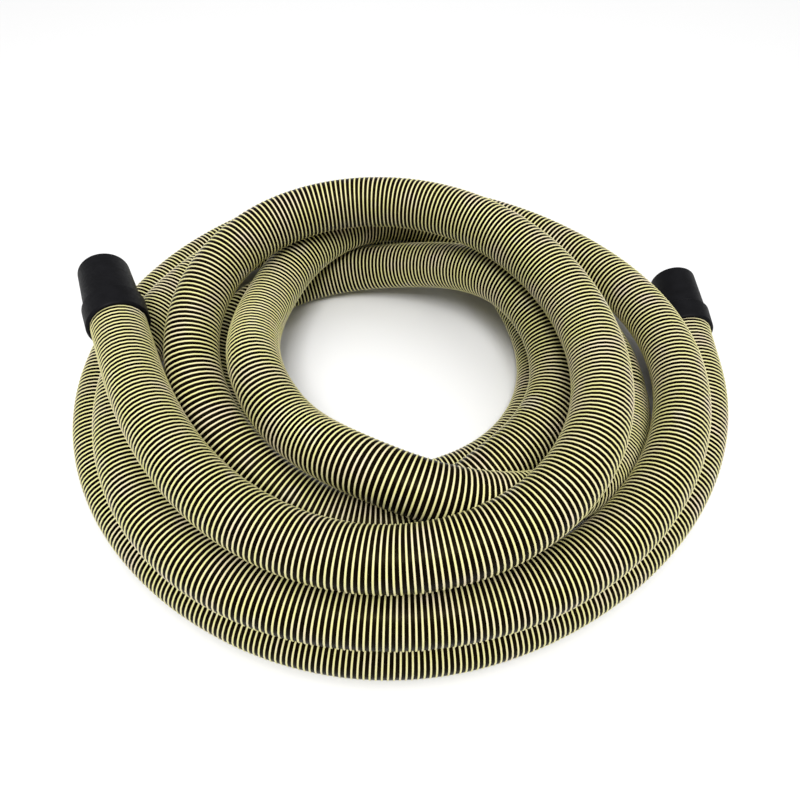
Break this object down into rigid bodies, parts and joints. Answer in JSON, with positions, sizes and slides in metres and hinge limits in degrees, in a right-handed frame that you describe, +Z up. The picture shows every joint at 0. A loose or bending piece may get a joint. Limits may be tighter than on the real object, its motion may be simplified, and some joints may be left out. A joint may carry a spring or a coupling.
{
  "type": "pool vacuum hose",
  "caption": "Spiral-ribbed pool vacuum hose lying in a pile of loops, with a swivel cuff on each end.",
  "frame": {"origin": "middle of the pile's box, on the floor it lies on", "axes": "+Z up; -Y is the front, where the wide lower turns lie; both cuffs point to +Y, one at -X on top of the pile and one at +X on the floor"},
  "size_m": [0.6027, 0.5424, 0.149],
  "materials": {
    "ribbed_hose": "glossy black wall with a pale yellow spiral rib",
    "cuff_plastic": "satin moulded black",
    "collar_plastic": "plain moulded black",
    "seal_rubber": "matt black"
  },
  "bodies": {
    "hose": {"hose": "ribbed_hose", "left_collar": "collar_plastic", "left_seal": "seal_rubber", "right_collar": "collar_plastic", "right_seal": "seal_rubber"},
    "left_cuff": {"left_cuff": "cuff_plastic"},
    "right_cuff": {"right_cuff": "cuff_plastic"}
  },
  "joints": [
    {"name": "left_cuff_swivel", "type": "hinge", "parent": "hose", "child": "left_cuff", "pos_m": [-0.25765, 0.02551, 0.10444], "axis": [-0.4257, 0.9037, -0.0459], "continuous": true},
    {"name": "right_cuff_swivel", "type": "hinge", "parent": "hose", "child": "right_cuff", "pos_m": [0.27751, 0.09061, 0.02551], "axis": [0.0646, 0.9975, -0.0285], "continuous": true}
  ]
}
